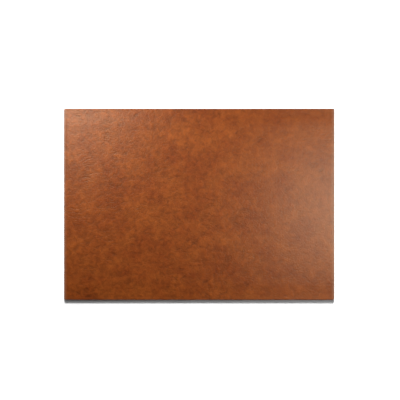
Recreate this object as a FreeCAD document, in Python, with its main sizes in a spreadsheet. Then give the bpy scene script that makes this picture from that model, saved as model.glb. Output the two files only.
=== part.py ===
import FreeCAD, Part
import Sketcher
import math
import os

# A leather-covered desk mat, in millimetres: +Z up, +X along the long side, and the origin at the
# centre of the face that it rests on. One leather sheet is drawn over foam and a stiff board, and its
# four edges are turned in underneath, where a card levels the ground between them and a suede sheet
# closes the back.

doc = FreeCAD.newDocument("desk_mat")


# ---------------------------------------------------------------- driving dimensions
# Each row is an alias, its value and what it measures. The pieces stack without gaps, from the desk
# up: suede, turn-ins and card, board, foam, leather.
SIZES = [
    ("mat_length", 594.0, "outside length, along X"),
    ("mat_width", 420.0, "outside width, along Y"),
    ("corner_radius", 3.0, "corner of the wrapped mat, seen from above"),
    ("leather_thickness", 1.2, "leather on the face and round the edge"),
    ("edge_roll", 2.0, "outside radius of the leather where the face turns down"),
    ("under_roll", 1.0, "outside radius of the leather where the edge turns under"),
    ("turn_in_width", 18.0, "from the mat's edge to the inner end of a turn-in"),
    ("turn_in_thickness", 0.6, "leather pared thin for turning in"),
    ("mitre_gap", 0.3, "open width of the mitre between two turn-ins"),
    ("mitre_stop", 3.0, "how far the mitre's outer end stays inside both edges"),
    ("board_thickness", 1.6, "stiff board"),
    ("foam_thickness", 1.0, "foam between the board and the leather"),
    ("edge_clearance", 0.1, "glue line round the board, the foam and the card"),
    ("backing_thickness", 0.6, "suede sheet on the underside"),
    ("backing_inset", 5.0, "bare turn-in left showing round the suede sheet"),
    ("backing_corner", 5.0, "corner of the suede sheet, seen from above"),
]

sheet = doc.addObject("Spreadsheet::Sheet", "sizes")
for row, (alias, number, meaning) in enumerate(SIZES, start=1):
    sheet.set(f"A{row}", alias)
    sheet.set(f"B{row}", str(number))
    sheet.setAlias(f"B{row}", alias)
    sheet.set(f"C{row}", meaning)
doc.recompute()

# Sizes that several pieces share, as expressions on the sheet.
COVER_HEIGHT = (
    "(sizes.turn_in_thickness + sizes.board_thickness"
    " + sizes.foam_thickness + sizes.leather_thickness)"
)
FILL_HEIGHT = "(sizes.board_thickness + sizes.foam_thickness)"
INNER_CORNER = "(sizes.corner_radius - sizes.leather_thickness)"
# The leather keeps its thickness round the upper edge, and the foam has to be deep enough for the bend.
INNER_ROLL = "min(sizes.edge_roll - sizes.leather_thickness; 0.9 * sizes.foam_thickness)"


def value_of(expression):
    """The number that an expression on the sheet comes to, in millimetres."""
    found = sheet.evalExpression(expression)
    return float(getattr(found, "Value", found))


def inset(size, gap):
    """A length with the same gap taken off both of its ends."""
    return f"({size} - 2 * ({gap}))"


# ---------------------------------------------------------------- features shared by the pieces
def new_body(label, lift=None):
    """An empty body, raised from the desk to the height of its own underside."""
    body = doc.addObject("PartDesign::Body", label)
    body.Label = label
    if lift:
        body.setExpression("Placement.Base.z", lift)
    return body


def new_sketch(body, name, lift=None):
    """A sketch on the body's own ground plane, or parallel to it at a height."""
    sketch = body.newObject("Sketcher::SketchObject", name)
    planes = {plane.Role: plane for plane in body.Origin.OriginFeatures}
    sketch.AttachmentSupport = [(planes["XY_Plane"], "")]
    sketch.MapMode = "FlatFace"
    if lift:
        sketch.setExpression("AttachmentOffset.Base.z", lift)
    return sketch


def bind(sketch, kind, *where, size, name):
    """Adds a dimension to the sketch, and ties it to an expression on the sheet."""
    index = sketch.addConstraint(Sketcher.Constraint(kind, *where, value_of(size)))
    sketch.renameConstraint(index, name)
    sketch.setExpression(f"Constraints.{name}", size)


def rectangle(sketch, length, width):
    """Draws a rectangle with sharp corners, centred on the sketch's origin."""
    x, y = value_of(length) / 2, value_of(width) / 2
    corners = [FreeCAD.Vector(*at, 0) for at in ((-x, -y), (x, -y), (x, y), (-x, y))]
    for start, end in zip(corners, corners[1:] + corners[:1]):
        sketch.addGeometry(Part.LineSegment(start, end))
    for side in range(4):
        sketch.addConstraint(Sketcher.Constraint("Coincident", side, 2, (side + 1) % 4, 1))
    for side, along in enumerate(("Horizontal", "Vertical", "Horizontal", "Vertical")):
        sketch.addConstraint(Sketcher.Constraint(along, side))
    sketch.addConstraint(Sketcher.Constraint("Symmetric", 0, 1, 1, 2, -1, 1))
    bind(sketch, "DistanceX", 0, 1, 0, 2, size=length, name="length")
    bind(sketch, "DistanceY", 1, 1, 1, 2, size=width, name="width")


def rounded_rectangle(sketch, length, width, corner):
    """Draws a rectangle with round corners, centred on the sketch's origin."""
    x, y, r = value_of(length) / 2, value_of(width) / 2, value_of(corner)
    signs = [(-1, -1), (1, -1), (1, 1), (-1, 1)]
    ends = []
    for quarter, (sx, sy) in enumerate(signs):
        centre = FreeCAD.Vector(sx * (x - r), sy * (y - r), 0)
        circle = Part.Circle(centre, FreeCAD.Vector(0, 0, 1), r)
        first = math.pi * (1 + quarter / 2)
        arc = Part.ArcOfCircle(circle, first, first + math.pi / 2)
        sketch.addGeometry(arc)
        ends.append((arc.StartPoint, arc.EndPoint))
    for side in range(4):
        sketch.addGeometry(Part.LineSegment(ends[side][1], ends[(side + 1) % 4][0]))
    for side in range(4):
        sketch.addConstraint(Sketcher.Constraint("Tangent", side, 2, 4 + side, 1))
        sketch.addConstraint(Sketcher.Constraint("Tangent", 4 + side, 2, (side + 1) % 4, 1))
    for side, along in enumerate(("Horizontal", "Vertical", "Horizontal", "Vertical")):
        sketch.addConstraint(Sketcher.Constraint(along, 4 + side))
    for arc in (1, 2):
        sketch.addConstraint(Sketcher.Constraint("Equal", 0, arc))
    sketch.addConstraint(Sketcher.Constraint("Symmetric", 0, 3, 2, 3, -1, 1))
    bind(sketch, "Radius", 0, size=corner, name="corner")
    bind(sketch, "DistanceX", 7, 1, 5, 1, size=length, name="length")
    bind(sketch, "DistanceY", 4, 1, 6, 1, size=width, name="width")


def pad(body, sketch, name, height):
    feature = body.newObject("PartDesign::Pad", name)
    feature.Profile = sketch
    feature.setExpression("Length", height)
    doc.recompute()
    return feature


def pocket_up(body, sketch, name, depth):
    """Cuts upward from the sketch, and makes sure that the cut took something away."""
    before = body.Shape.Volume
    feature = body.newObject("PartDesign::Pocket", name)
    feature.Profile = sketch
    feature.Reversed = True
    feature.setExpression("Length", depth)
    doc.recompute()
    if not body.Shape.Volume < before:
        raise ValueError(f"{name} cuts nothing")
    return feature


def fillet_at(body, name, height, radius):
    """Rounds the edges of the body's last feature that lie flat at one height."""
    last, level = body.Tip, value_of(height)
    edges = []
    for number, edge in enumerate(last.Shape.Edges, start=1):
        box = edge.BoundBox
        if max(abs(box.ZMin - level), abs(box.ZMax - level)) < 1e-4:
            edges.append(f"Edge{number}")
    feature = body.newObject("PartDesign::Fillet", name)
    feature.Base = (last, edges)
    feature.setExpression("Radius", radius)
    doc.recompute()
    return feature


# ---------------------------------------------------------------- the pieces, from the top down
def leather_cover():
    """One sheet of leather: the face, the rolled edge and four pared turn-ins mitred at the corners."""
    body = new_body("leather_cover", "sizes.backing_thickness")
    outline = new_sketch(body, "cover_outline")
    rounded_rectangle(outline, "sizes.mat_length", "sizes.mat_width", "sizes.corner_radius")
    pad(body, outline, "wrapped_block", COVER_HEIGHT)
    fillet_at(body, "edge_roll_over", COVER_HEIGHT, "sizes.edge_roll")
    fillet_at(body, "edge_roll_under", "0", "sizes.under_roll")

    # The space that the board and the foam fill.
    hollow = new_sketch(body, "hollow_outline", "sizes.turn_in_thickness")
    rounded_rectangle(
        hollow,
        inset("sizes.mat_length", "sizes.leather_thickness"),
        inset("sizes.mat_width", "sizes.leather_thickness"),
        INNER_CORNER,
    )
    pocket_up(body, hollow, "hollow", FILL_HEIGHT)
    fillet_at(body, "inner_roll", f"{COVER_HEIGHT} - sizes.leather_thickness", INNER_ROLL)

    # The opening between the inner ends of the four turn-ins.
    window = new_sketch(body, "window_outline")
    rectangle(
        window,
        inset("sizes.mat_length", "sizes.turn_in_width"),
        inset("sizes.mat_width", "sizes.turn_in_width"),
    )
    pocket_up(body, window, "window", "sizes.turn_in_thickness")

    # A mitre joint runs at 45 degrees from each corner of the window towards the corner of the mat.
    # It starts inside the window by its own width, so that the two turn-ins part cleanly there, and
    # its sketch lies along the joint with its origin at the middle of it.
    inner_end = "(sizes.turn_in_width + sizes.mitre_gap)"
    middle = f"({inner_end} + sizes.mitre_stop) / 2"
    slit = new_sketch(body, "mitre_outline")
    slit.AttachmentOffset = FreeCAD.Placement(
        FreeCAD.Vector(0, 0, 0), FreeCAD.Rotation(FreeCAD.Vector(0, 0, 1), 45)
    )
    slit.setExpression("AttachmentOffset.Base.x", f"sizes.mat_length / 2 - {middle}")
    slit.setExpression("AttachmentOffset.Base.y", f"sizes.mat_width / 2 - {middle}")
    rectangle(slit, f"sqrt(2) * ({inner_end} - sizes.mitre_stop)", "sizes.mitre_gap")
    mitre = pocket_up(body, slit, "mitre", "sizes.turn_in_thickness")

    planes = {plane.Role: plane for plane in body.Origin.OriginFeatures}
    mitres = body.newObject("PartDesign::MultiTransform", "four_mitres")
    mitres.Originals = [mitre]
    mirrors = []
    for name, role in (("left_mitre", "YZ_Plane"), ("front_mitre", "XZ_Plane")):
        mirror = body.newObject("PartDesign::Mirrored", name)
        mirror.MirrorPlane = (planes[role], [""])
        mirrors.append(mirror)
    mitres.Transformations = mirrors
    body.Tip = mitres
    return body


def foam_interlay():
    """Thin foam over the whole board, with its upper edge rounded to the inside of the leather."""
    body = new_body(
        "foam_interlay",
        "sizes.backing_thickness + sizes.turn_in_thickness + sizes.board_thickness",
    )
    outline = new_sketch(body, "foam_outline")
    filling_outline(outline)
    pad(body, outline, "foam_layer", "sizes.foam_thickness")
    fillet_at(body, "foam_roll", "sizes.foam_thickness", INNER_ROLL)
    return body


def core_board():
    """The stiff board that the leather is wrapped round."""
    body = new_body("core_board", "sizes.backing_thickness + sizes.turn_in_thickness")
    outline = new_sketch(body, "board_outline")
    filling_outline(outline)
    pad(body, outline, "board", "sizes.board_thickness")
    return body


def filling_outline(sketch):
    """The outline of the board and the foam: the leather's inside, less the glue line."""
    wall = "sizes.leather_thickness + sizes.edge_clearance"
    rounded_rectangle(
        sketch,
        inset("sizes.mat_length", wall),
        inset("sizes.mat_width", wall),
        f"{INNER_CORNER} - sizes.edge_clearance",
    )


def infill_card():
    """The card that levels the underside between the turn-ins, as thick as they are."""
    body = new_body("infill_card", "sizes.backing_thickness")
    outline = new_sketch(body, "card_outline")
    margin = "sizes.turn_in_width + sizes.edge_clearance"
    rectangle(outline, inset("sizes.mat_length", margin), inset("sizes.mat_width", margin))
    pad(body, outline, "card", "sizes.turn_in_thickness")
    return body


def backing_sheet():
    """The suede sheet that hides the turn-ins and the card, and that the mat rests on."""
    body = new_body("backing_sheet")
    outline = new_sketch(body, "backing_outline")
    rounded_rectangle(
        outline,
        inset("sizes.mat_length", "sizes.backing_inset"),
        inset("sizes.mat_width", "sizes.backing_inset"),
        "sizes.backing_corner",
    )
    pad(body, outline, "suede", "sizes.backing_thickness")
    return body


pieces = [leather_cover(), foam_interlay(), core_board(), infill_card(), backing_sheet()]
doc.recompute()


# ---------------------------------------------------------------- checks and files
for item in doc.Objects:
    if "Invalid" in item.State or "Error" in item.State:
        raise RuntimeError(f"{item.Label} could not be built: {item.State}")
for piece in pieces:
    if piece.Shape.isNull() or not piece.Shape.isValid() or len(piece.Shape.Solids) != 1:
        raise RuntimeError(f"{piece.Label} is not one sound solid")

os.makedirs("parts", exist_ok=True)
for piece in pieces:
    piece.Shape.exportStep(f"parts/{piece.Label}.step")
    box = piece.Shape.optimalBoundingBox(False)
    print(
        f"{piece.Label}: {box.XLength:.2f} x {box.YLength:.2f} x {box.ZLength:.2f} mm,"
        f" from z = {box.ZMin:.2f}, {piece.Shape.Volume:.0f} cubic mm"
    )
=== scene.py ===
import math

import bmesh
import bpy
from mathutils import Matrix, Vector, noise


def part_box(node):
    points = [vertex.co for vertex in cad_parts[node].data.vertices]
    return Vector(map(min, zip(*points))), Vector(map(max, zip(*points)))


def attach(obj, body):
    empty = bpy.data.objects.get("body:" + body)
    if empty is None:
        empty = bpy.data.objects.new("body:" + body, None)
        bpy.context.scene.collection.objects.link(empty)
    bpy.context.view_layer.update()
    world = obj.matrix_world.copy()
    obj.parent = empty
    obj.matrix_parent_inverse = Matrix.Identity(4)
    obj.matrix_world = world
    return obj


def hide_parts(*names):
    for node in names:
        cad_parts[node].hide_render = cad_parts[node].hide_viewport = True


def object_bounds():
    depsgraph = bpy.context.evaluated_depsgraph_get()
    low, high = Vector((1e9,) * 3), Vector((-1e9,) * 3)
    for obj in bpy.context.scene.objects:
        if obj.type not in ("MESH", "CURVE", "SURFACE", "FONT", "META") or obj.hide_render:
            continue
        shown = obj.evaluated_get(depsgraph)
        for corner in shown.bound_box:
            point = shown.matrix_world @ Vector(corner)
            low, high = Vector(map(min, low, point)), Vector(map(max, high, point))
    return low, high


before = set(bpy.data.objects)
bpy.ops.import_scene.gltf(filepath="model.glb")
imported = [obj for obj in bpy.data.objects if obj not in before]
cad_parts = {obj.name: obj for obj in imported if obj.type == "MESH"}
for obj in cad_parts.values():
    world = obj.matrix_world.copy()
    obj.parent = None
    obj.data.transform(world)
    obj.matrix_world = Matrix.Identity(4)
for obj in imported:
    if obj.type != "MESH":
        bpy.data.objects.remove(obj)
cad_low, cad_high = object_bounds()
MM = 0.001


# ------------------------------------------------------------------ core board
# The stiff sheet that everything else is wrapped round or glued to: dense grey fibreboard, rolled from
# pulped paper and cut to size on a guillotine. It is out of sight once the mat is closed.

def linear(hex_colour):
    """An sRGB hex colour as the linear red, green, blue and alpha that a node takes."""
    parts = [int(hex_colour[i : i + 2], 16) / 255 for i in (1, 3, 5)]
    return (*(c / 12.92 if c <= 0.04045 else ((c + 0.055) / 1.055) ** 2.4 for c in parts), 1.0)


def per_metre(millimetres):
    """The texture scale at which one feature of a pattern is this many millimetres wide."""
    return 1 / (millimetres * MM)


def add(tree, kind, settings=None, *in_order, **by_name):
    """Adds a node with its settings; each input gets a value or a link, by place or by name."""
    made = tree.nodes.new(kind)
    for name, value in (settings or {}).items():
        setattr(made, name, value)
    sockets = [socket for socket in made.inputs if socket.enabled]
    named = {socket.name.replace(" ", "_"): socket for socket in sockets}
    wanted = list(zip(sockets, in_order)) + [(named[name], value) for name, value in by_name.items()]
    for socket, value in wanted:
        if isinstance(value, bpy.types.NodeSocket):
            tree.links.new(value, socket)
        else:
            socket.default_value = value
    return made


def new_material(name):
    """An empty material, with its node tree and the coordinates that its patterns read."""
    material = bpy.data.materials.new(name)
    material.use_nodes = True
    tree = material.node_tree
    tree.nodes.clear()
    return material, tree, add(tree, "ShaderNodeTexCoord").outputs["Object"]


def finish_with(tree, **inputs):
    """Ends a material in the surface shader with these inputs."""
    surface = add(tree, "ShaderNodeBsdfPrincipled", **inputs)
    add(tree, "ShaderNodeOutputMaterial", Surface=surface.outputs[0])


def blotches(tree, where, size, detail=3.0, low=0.35, high=0.65):
    """Soft cloudy patches of one size in millimetres, from 0 to 1."""
    cloud = add(tree, "ShaderNodeTexNoise", Vector=where, Scale=per_metre(size), Detail=detail)
    return add(
        tree, "ShaderNodeMapRange", Value=cloud.outputs[0], From_Min=low, From_Max=high
    ).outputs[0]


def give(piece, material):
    """Puts one material all over a piece."""
    piece.data.materials.clear()
    piece.data.materials.append(material)


# Grey fibreboard: matt and even, with darker fibres a few millimetres long.
def grey_fibreboard():
    material, tree, where = new_material("grey_fibreboard")
    fibres = blotches(tree, where, 2.5, detail=5.0)
    colour = add(
        tree, "ShaderNodeMix", {"data_type": "RGBA"},
        Factor=fibres, A=linear("#6f6a62"), B=linear("#8f8a80"),
    ).outputs[2]
    bump = add(tree, "ShaderNodeBump", Height=fibres, Distance=0.05 * MM, Strength=0.6)
    finish_with(tree, Base_Color=colour, Roughness=0.9, Normal=bump.outputs[0])
    return material


give(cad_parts["core_board"], grey_fibreboard())


# ------------------------------------------------------------------ foam interlay
# A thin sheet of closed-cell foam glued over the board. Its rim is pared away, steeply at the two
# ends and gently along the sides, so that the leather sinks a little before it turns down.

CROWDING = 0.08  # how strongly a sheet's grid lines gather at its rim


def crowded(t):
    """Spreads evenly spaced grid lines (-1 to 1) so that they stand closer together at the rim."""
    return t * (1 + CROWDING - CROWDING * t**8)


def round_corner(x, y, half_x, half_y, corner):
    """Moves a point of a sharp-cornered rectangle inwards onto the same rectangle with round corners."""
    past_x, past_y = abs(x) - (half_x - corner), abs(y) - (half_y - corner)
    if past_x <= 0 or past_y <= 0:
        return x, y
    pull = max(past_x, past_y) / math.hypot(past_x, past_y)
    new_x = half_x - corner + past_x * pull
    new_y = half_y - corner + past_y * pull
    return math.copysign(new_x, x), math.copysign(new_y, y)


def layer(name, half_x, half_y, corner, profile, lines, lift=None):
    """A closed sheet lying flat, as a mesh object.

    profile lists (inset from the outline, height) from the rim of the upper face, round the edge,
    to the rim of the lower face. lift(x, y, z) gives how far each point is then raised.
    """
    bm = bmesh.new()
    inset, height = profile[0]
    bmesh.ops.create_grid(bm, x_segments=lines[0], y_segments=lines[1], size=1)
    for vert in bm.verts:
        vert.co.x = crowded(vert.co.x) * (half_x - inset)
        vert.co.y = crowded(vert.co.y) * (half_y - inset)
        vert.co.z = height
    rim = [edge for edge in bm.edges if edge.is_boundary]
    for next_inset, height in profile[1:]:
        made = bmesh.ops.extrude_edge_only(bm, edges=rim)["geom"]
        for vert in (item for item in made if isinstance(item, bmesh.types.BMVert)):
            vert.co.x *= (half_x - next_inset) / (half_x - inset)
            vert.co.y *= (half_y - next_inset) / (half_y - inset)
            vert.co.z = height
        rim = [item for item in made if isinstance(item, bmesh.types.BMEdge) and item.is_boundary]
        inset = next_inset
    bmesh.ops.contextual_create(bm, geom=rim)
    for vert in bm.verts:
        if lift:
            vert.co.z += lift(*vert.co)
        vert.co.x, vert.co.y = round_corner(vert.co.x, vert.co.y, half_x, half_y, corner)
    bmesh.ops.recalc_face_normals(bm, faces=bm.faces)
    mesh = bpy.data.meshes.new(name)
    bm.to_mesh(mesh)
    bm.free()
    mesh.shade_smooth()
    piece = bpy.data.objects.new(name, mesh)
    bpy.context.collection.objects.link(piece)
    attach(piece, "root")
    return piece


def arc(centre_inset, centre_height, radius, first, last, steps):
    """Points of a round edge in section; an angle of 90 degrees faces up and 0 faces outwards."""
    angles = [math.radians(first + (last - first) * i / steps) for i in range(steps + 1)]
    return [
        (centre_inset - radius * math.cos(a), centre_height + radius * math.sin(a)) for a in angles
    ]


def smooth(value, low, high):
    """0 below low, 1 above high, and an even slope without corners between them."""
    t = min(1.0, max(0.0, (value - low) / (high - low)))
    return t * t * (3 - 2 * t)


cover_low, cover_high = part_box("leather_cover")
HALF_X, HALF_Y = cover_high[0], cover_high[1]
TOP_ROLL = 2.0 * MM  # the leather's roll, outside the foam's slope
PARED_ENDS = 8.0 * MM  # how far in from the mat's short edges the foam starts to thin
PARED_SIDES = 40.0 * MM  # the same from its long edges
RIM_SINK = 0.8 * MM  # how much lower the leather is where it starts to roll over


def sunken(x, y):
    """How far the pared foam lets the leather sink at a place on the mat."""
    inside_ends = smooth(HALF_X - abs(x), TOP_ROLL, PARED_ENDS)
    inside_sides = smooth(HALF_Y - abs(y), TOP_ROLL, PARED_SIDES)
    return RIM_SINK * (1 - inside_ends * inside_sides)


foam_low, foam_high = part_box("foam_interlay")
FOAM_CORNER = 1.7 * MM
FOAM_BEVEL = 0.1 * MM
FOAM_LINES = (180, 120)  # grid lines along and across the sheet


def foam_relief(x, y, z):
    """Thins the foam towards its rim, from above."""
    return -sunken(x, y) if z > foam_high[2] - FOAM_BEVEL else 0.0


foam = layer(
    "foam_sheet",
    foam_high[0],
    foam_high[1],
    FOAM_CORNER,
    [(FOAM_BEVEL, foam_high[2]), (0.0, foam_low[2] + FOAM_BEVEL), (FOAM_BEVEL, foam_low[2])],
    FOAM_LINES,
    foam_relief,
)


# Closed-cell foam: chalky and dull, with a faint skin of cells about 1 mm across.
def closed_cell_foam():
    material, tree, where = new_material("closed_cell_foam")
    cells = add(tree, "ShaderNodeTexVoronoi", Vector=where, Scale=per_metre(1.2)).outputs[0]
    colour = add(
        tree, "ShaderNodeMix", {"data_type": "RGBA"},
        Factor=cells, A=linear("#dedacb"), B=linear("#c9c4b4"),
    ).outputs[2]
    bump = add(tree, "ShaderNodeBump", Height=cells, Distance=0.1 * MM, Strength=0.5)
    finish_with(tree, Base_Color=colour, Roughness=0.95, Normal=bump.outputs[0])
    return material


give(foam, closed_cell_foam())
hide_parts("foam_interlay")


# ------------------------------------------------------------------ leather cover
# One sheet of vegetable-tanned cowhide with its natural grain left on: drawn over the foam, rolled
# round the board's edges and pared thin underneath, where the four turn-ins meet in mitres.

CORNER = 3.0 * MM
LEATHER = 1.2 * MM
TURN_IN = 18.0 * MM
PARED_LEATHER = 0.6 * MM
UNDER_ROLL = 1.0 * MM
INNER_BEVEL = 0.1 * MM
MITRE_DEPTH = 0.4 * MM
HIDDEN_RINGS = [inset * MM for inset in (4, 6, 8, 14, 20, 26, 32)]  # they follow the foam's slope
COVER_LINES = (300, 212)
NEAR = 0.01 * MM  # closer than this counts as the same place

underside = cover_low[2]
roll_top = cover_high[2] - RIM_SINK
flesh_side = roll_top - LEATHER  # the hidden face of the leather, where it starts to roll over

cover_section = [
    *arc(TOP_ROLL, roll_top - TOP_ROLL, TOP_ROLL, 90, 0, 8),
    *arc(UNDER_ROLL, underside + UNDER_ROLL, UNDER_ROLL, 0, -90, 4),
    (TURN_IN / 3, underside),
    (TURN_IN * 2 / 3, underside),
    (TURN_IN, underside),
    (TURN_IN, underside + PARED_LEATHER),
    (LEATHER, underside + PARED_LEATHER),
    (LEATHER, flesh_side - INNER_BEVEL),
    (LEATHER + INNER_BEVEL, flesh_side),
    (TOP_ROLL, flesh_side),
    *((inset, flesh_side) for inset in HIDDEN_RINGS),
    (PARED_SIDES, flesh_side),
]


SWELLS = 75, 0.10 * MM  # width in millimetres and height of the hide's broad unevenness
PUFFS = 22, 0.035 * MM  # the same for its finer unevenness
OTHER_PLACE = Vector((0, 0, 5))  # keeps the puffs from repeating the swells


def hide_relief(x, y, z):
    """How far the hide's own unevenness and its sunken border raise a point of the cover."""
    from_end, from_side = HALF_X - abs(x), HALF_Y - abs(y)
    edge_gap = min(from_end, from_side)
    on_mitre = abs(from_end - from_side) < NEAR and edge_gap > CORNER
    if on_mitre and z < underside + NEAR:
        return MITRE_DEPTH
    if z < flesh_side - NEAR or edge_gap < TOP_ROLL - NEAR:
        return 0.0
    raised = RIM_SINK - sunken(x, y)
    if z < roll_top - NEAR:
        return raised
    here = Vector((x, y, 0))
    swells = noise.noise(here * per_metre(SWELLS[0])) * SWELLS[1]
    puffs = noise.fractal(here * per_metre(PUFFS[0]) + OTHER_PLACE, 1.0, 2.0, 3) * PUFFS[1]
    return raised + (swells + puffs) * smooth(edge_gap, TOP_ROLL, 4 * TOP_ROLL)


cover = layer("leather_wrap", HALF_X, HALF_Y, CORNER, cover_section, COVER_LINES, hide_relief)


CUT_FROM = (-5.9, 18.9, 0.0)  # which part of the endless pattern this piece of hide shows
HOLLOW_SHADE = 1.4  # how much the crushed grain darkens and lightens the dye
# Painted shade along the creases: the dye is drawn darker there.
PAINTED_CREASE_SHADE = -0.16  # how much a crease darkens it


# Vegetable-tanned cowhide, aniline dyed and lightly waxed: two browns that drift into each other, a
# crushed grain with soft growth creases, and a satin sheen that breaks up on the grain. The pebbles of
# the grain are drawn about three times as wide as real ones, so that they show at arm's length.
def tan_cowhide():
    material, tree, where = new_material("tan_cowhide")
    hide = add(tree, "ShaderNodeMapping", Vector=where, Location=CUT_FROM).outputs[0]
    drift = blotches(tree, hide, 60, detail=2.0)
    mottle = blotches(tree, hide, 14, detail=5.0, low=0.3, high=0.7)
    tone = add(tree, "ShaderNodeMix", Factor=0.5, A=drift, B=mottle).outputs[0]
    dye = add(
        tree, "ShaderNodeMix", {"data_type": "RGBA"},
        Factor=tone, A=linear("#843a11"), B=linear("#9d4f1b"),
    ).outputs[2]

    # The right-hand end was cut nearer the spine, where the grain is flatter and creases are fainter.
    across = add(tree, "ShaderNodeSeparateXYZ", Vector=where).outputs[0]
    looseness = add(
        tree, "ShaderNodeMapRange", {"interpolation_type": "SMOOTHSTEP"}, Value=across,
        From_Min=0.05 * HALF_X, From_Max=0.6 * HALF_X, To_Min=1.0, To_Max=0.6,
    ).outputs[0]

    # Growth creases: soft lines a few centimetres long, mostly along the mat, in scattered patches.
    wander = add(tree, "ShaderNodeTexNoise", Vector=hide, Scale=per_metre(40), Detail=1.0)
    warped = add(
        tree, "ShaderNodeVectorMath", {"operation": "MULTIPLY_ADD"},
        wander.outputs[1], (12 * MM, 30 * MM, 0.0), hide,
    ).outputs[0]
    stretched = add(
        tree, "ShaderNodeMapping", Vector=warped, Scale=(per_metre(42), per_metre(10), 1.0)
    ).outputs[0]
    lines = add(tree, "ShaderNodeTexNoise", Vector=stretched, Scale=1.0, Detail=1.0)
    off_line = add(
        tree, "ShaderNodeMath", {"operation": "ABSOLUTE"},
        add(tree, "ShaderNodeMath", {"operation": "SUBTRACT"}, lines.outputs[0], 0.5).outputs[0],
    ).outputs[0]
    line = add(
        tree, "ShaderNodeMapRange", {"interpolation_type": "SMOOTHSTEP"}, Value=off_line,
        From_Min=0.0, From_Max=0.08, To_Min=1.0, To_Max=0.0,
    ).outputs[0]
    patches = blotches(tree, hide, 45, detail=1.0, low=0.48, high=0.66)
    patchy = add(tree, "ShaderNodeMath", {"operation": "MULTIPLY"}, line, patches).outputs[0]
    crease = add(tree, "ShaderNodeMath", {"operation": "MULTIPLY"}, patchy, looseness).outputs[0]

    # Crushed grain: wax and dye gather in its hollows, which are darker.
    crushed = add(
        tree, "ShaderNodeTexNoise", Vector=hide, Scale=per_metre(9), Detail=4.0, Roughness=0.62,
        Distortion=0.6,
    ).outputs[0]
    centred = add(
        tree, "ShaderNodeMath", {"operation": "SUBTRACT"}, crushed, 0.5
    ).outputs[0]
    hollows = add(
        tree, "ShaderNodeMath", {"operation": "MULTIPLY"}, centred, looseness
    ).outputs[0]
    shade = add(
        tree, "ShaderNodeMath", {"operation": "MULTIPLY_ADD"}, hollows, HOLLOW_SHADE, 1.0
    ).outputs[0]
    # Painted shade: the dye is darkened along the creases, on top of the grain's own tone.
    creased = add(
        tree, "ShaderNodeMath", {"operation": "MULTIPLY_ADD"}, crease, PAINTED_CREASE_SHADE, shade
    ).outputs[0]
    grained = add(
        tree, "ShaderNodeVectorMath", {"operation": "SCALE"}, Vector=dye, Scale=creased
    ).outputs[0]

    # Painted sheen: the colour turns paler and greyer along the two ends, where the border slopes away.
    from_middle = add(tree, "ShaderNodeMath", {"operation": "ABSOLUTE"}, across).outputs[0]
    painted_end_sheen = add(
        tree, "ShaderNodeMapRange", {"interpolation_type": "SMOOTHSTEP"}, Value=from_middle,
        From_Min=HALF_X - PARED_ENDS, From_Max=HALF_X, To_Min=0.0, To_Max=0.25,
    ).outputs[0]
    colour = add(
        tree, "ShaderNodeMix", {"data_type": "RGBA"},
        Factor=painted_end_sheen, A=grained, B=linear("#b0957c"),
    ).outputs[2]

    pebbles = add(
        tree, "ShaderNodeTexVoronoi", {"feature": "SMOOTH_F1"},
        Vector=hide, Scale=per_metre(3.6), Smoothness=0.5,
    ).outputs[0]
    grain = add(tree, "ShaderNodeBump", Height=pebbles, Distance=0.12 * MM, Strength=1.0)
    pitted = add(
        tree, "ShaderNodeBump", Height=hollows, Distance=0.5 * MM, Strength=1.0,
        Normal=grain.outputs[0],
    )
    folds = add(
        tree, "ShaderNodeBump", {"invert": True}, Height=crease, Distance=0.12 * MM, Strength=1.0,
        Normal=pitted.outputs[0],
    )
    finish_with(
        tree, Base_Color=colour, Roughness=0.4, Normal=folds.outputs[0],
        Specular_Tint=(1.0, 0.98, 0.75, 1.0),
    )
    return material


give(cover, tan_cowhide())
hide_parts("leather_cover")


# ------------------------------------------------------------------ infill card
# Thin brown card glued to the board between the turn-ins, as thick as they are, so that the
# underside is level. It is out of sight under the suede.

def brown_card():
    material, tree, where = new_material("brown_card")
    fibres = blotches(tree, where, 3.0, detail=6.0)
    colour = add(
        tree, "ShaderNodeMix", {"data_type": "RGBA"},
        Factor=fibres, A=linear("#a58a68"), B=linear("#b89d7a"),
    ).outputs[2]
    finish_with(tree, Base_Color=colour, Roughness=0.85)
    return material


give(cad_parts["infill_card"], brown_card())


# ------------------------------------------------------------------ backing sheet
# Suede split leather, cut with round corners and glued over the turn-ins and the card, nap outwards.
# It stops short of the mat's edge all round, and it is what the mat lies on.

suede_low, suede_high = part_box("backing_sheet")
SUEDE_ROLL = 0.25 * MM
SUEDE_CORNER = 5.0 * MM
SUEDE_LINES = (60, 42)
suede = layer(
    "suede_sheet",
    suede_high[0],
    suede_high[1],
    SUEDE_CORNER,
    [
        *arc(SUEDE_ROLL, suede_high[2] - SUEDE_ROLL, SUEDE_ROLL, 90, 0, 3),
        *arc(SUEDE_ROLL, suede_low[2] + SUEDE_ROLL, SUEDE_ROLL, 0, -90, 3),
    ],
    SUEDE_LINES,
)


# Suede: a short brushed nap, dull and dark, in patches a few centimetres wide where it lies over.
def brown_suede():
    material, tree, where = new_material("brown_suede")
    brushed = blotches(tree, where, 30, detail=3.0)
    nap = blotches(tree, where, 1.2, detail=4.0)
    both = add(tree, "ShaderNodeMix", Factor=0.4, A=brushed, B=nap).outputs[0]
    colour = add(
        tree, "ShaderNodeMix", {"data_type": "RGBA"},
        Factor=both, A=linear("#4a3324"), B=linear("#644835"),
    ).outputs[2]
    bump = add(tree, "ShaderNodeBump", Height=nap, Distance=0.2 * MM, Strength=0.8)
    finish_with(
        tree, Base_Color=colour, Roughness=1.0, Normal=bump.outputs[0], Sheen_Weight=0.3
    )
    return material


give(suede, brown_suede())
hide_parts("backing_sheet")


# ------------------------------------------------------------------ studio
# A flat sheet of grey paper, a sun that falls on the paper alone and brings it up to white, soft lamps
# round the mat, pale walls, and a camera straight above.

FLOOR_HALF = 30.0
PAPER = 0.32  # how much of the light the paper sends back: a middle grey


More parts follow.
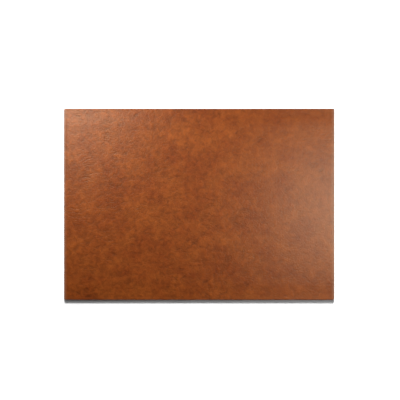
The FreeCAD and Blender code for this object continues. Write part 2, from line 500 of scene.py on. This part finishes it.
def matt_paper():
    """Plain grey matt paper, which is white only in its own sun."""
    material, tree = new_material("matt_paper")[:2]
    paper = add(tree, "ShaderNodeBsdfDiffuse", Color=(PAPER, PAPER, PAPER, 1.0))
    add(tree, "ShaderNodeOutputMaterial", Surface=paper.outputs[0])
    return material


def floor_sheet():
    bm = bmesh.new()
    bmesh.ops.create_grid(bm, x_segments=1, y_segments=1, size=FLOOR_HALF)
    mesh = bpy.data.meshes.new("floor")
    bm.to_mesh(mesh)
    bm.free()
    floor = bpy.data.objects.new("floor", mesh)
    bpy.context.collection.objects.link(floor)
    give(floor, matt_paper())
    return floor


def paper_sun(floor, towards, softness, white):
    """A sun that falls on the floor alone, which then shows white with the mat's shadow on it."""
    data = bpy.data.lights.new("paper_sun", "SUN")
    data.angle = math.radians(softness)
    data.energy = white * math.pi / PAPER / Vector(towards).normalized().z
    sun = bpy.data.objects.new("paper_sun", data)
    sun.rotation_euler = Vector(towards).to_track_quat("Z", "Y").to_euler()
    bpy.context.collection.objects.link(sun)
    lit = bpy.data.collections.new("paper_only")
    lit.objects.link(floor)
    sun.light_linking.receiver_collection = lit


paper_sun(floor_sheet(), towards=(0.05, 1.0, 0.39), softness=16, white=1.1)


def soft_lamp(name, place, aim, size, power, glare):
    """A rectangular softbox, turned to face a point; without glare, no surface mirrors it."""
    data = bpy.data.lights.new(name, "AREA")
    data.shape = "RECTANGLE"
    data.size, data.size_y = size
    data.energy = power
    lamp = bpy.data.objects.new(name, data)
    lamp.location = place
    lamp.rotation_euler = (Vector(aim) - Vector(place)).to_track_quat("-Z", "Y").to_euler()
    lamp.visible_camera = False
    lamp.visible_glossy = glare
    bpy.context.collection.objects.link(lamp)


# Each lamp's name, place, aim, size (metres), power (watts) and whether glossy surfaces mirror it.
LAMPS = [
    ("far_bank", (-0.48, 0.75, 0.35), (0.0, 0.1, 0.0), (1.2, 0.2), 5.95, False),
    ("left_box", (-0.40, 0.36, 0.6), (-0.3, 0.2, 0.0), (0.3, 0.3), 3.1, True),
    ("right_box", (0.5, 0.0, 0.6), (0.3, 0.0, 0.0), (0.3, 0.5), 3.35, True),
]
for lamp in LAMPS:
    soft_lamp(*lamp)


def studio_air(fill):
    """White paper walls up to a dark ceiling; they light the mat less than the camera sees them."""
    world = bpy.data.worlds.new("studio")
    bpy.context.scene.world = world
    world.use_nodes = True
    tree = world.node_tree
    tree.nodes.clear()
    direction = add(tree, "ShaderNodeTexCoord").outputs["Generated"]
    height = add(tree, "ShaderNodeSeparateXYZ", Vector=direction).outputs[2]
    walls = add(
        tree, "ShaderNodeMapRange", {"interpolation_type": "SMOOTHSTEP"},
        Value=height, From_Min=0.1, From_Max=0.6, To_Min=1.0, To_Max=0.0,
    ).outputs[0]
    ray = add(tree, "ShaderNodeLightPath").outputs
    level = add(tree, "ShaderNodeMix", Factor=ray["Is Glossy Ray"], A=fill, B=1.0).outputs[0]
    lit = add(tree, "ShaderNodeMath", {"operation": "MULTIPLY"}, walls, level).outputs[0]
    seen = add(
        tree, "ShaderNodeMath", {"operation": "MAXIMUM"},
        ray["Is Camera Ray"], ray["Is Transmission Ray"],
    ).outputs[0]
    strength = add(tree, "ShaderNodeMath", {"operation": "MAXIMUM"}, lit, seen).outputs[0]
    air = add(tree, "ShaderNodeBackground", Color=(1, 1, 1, 1), Strength=strength)
    add(tree, "ShaderNodeOutputWorld", Surface=air.outputs[0])


studio_air(fill=0.3)

VIEW_WIDTH = 878 * MM
camera_data = bpy.data.cameras.new("camera")
camera_data.lens = 85
camera_data.sensor_width = 36
camera = bpy.data.objects.new("camera", camera_data)
camera_height = cad_high[2] + VIEW_WIDTH * camera_data.lens / camera_data.sensor_width
camera.location = (1.8 * MM, 9.4 * MM, camera_height)
bpy.context.collection.objects.link(camera)
bpy.context.scene.camera = camera
bpy.context.scene.view_settings.view_transform = "Standard"
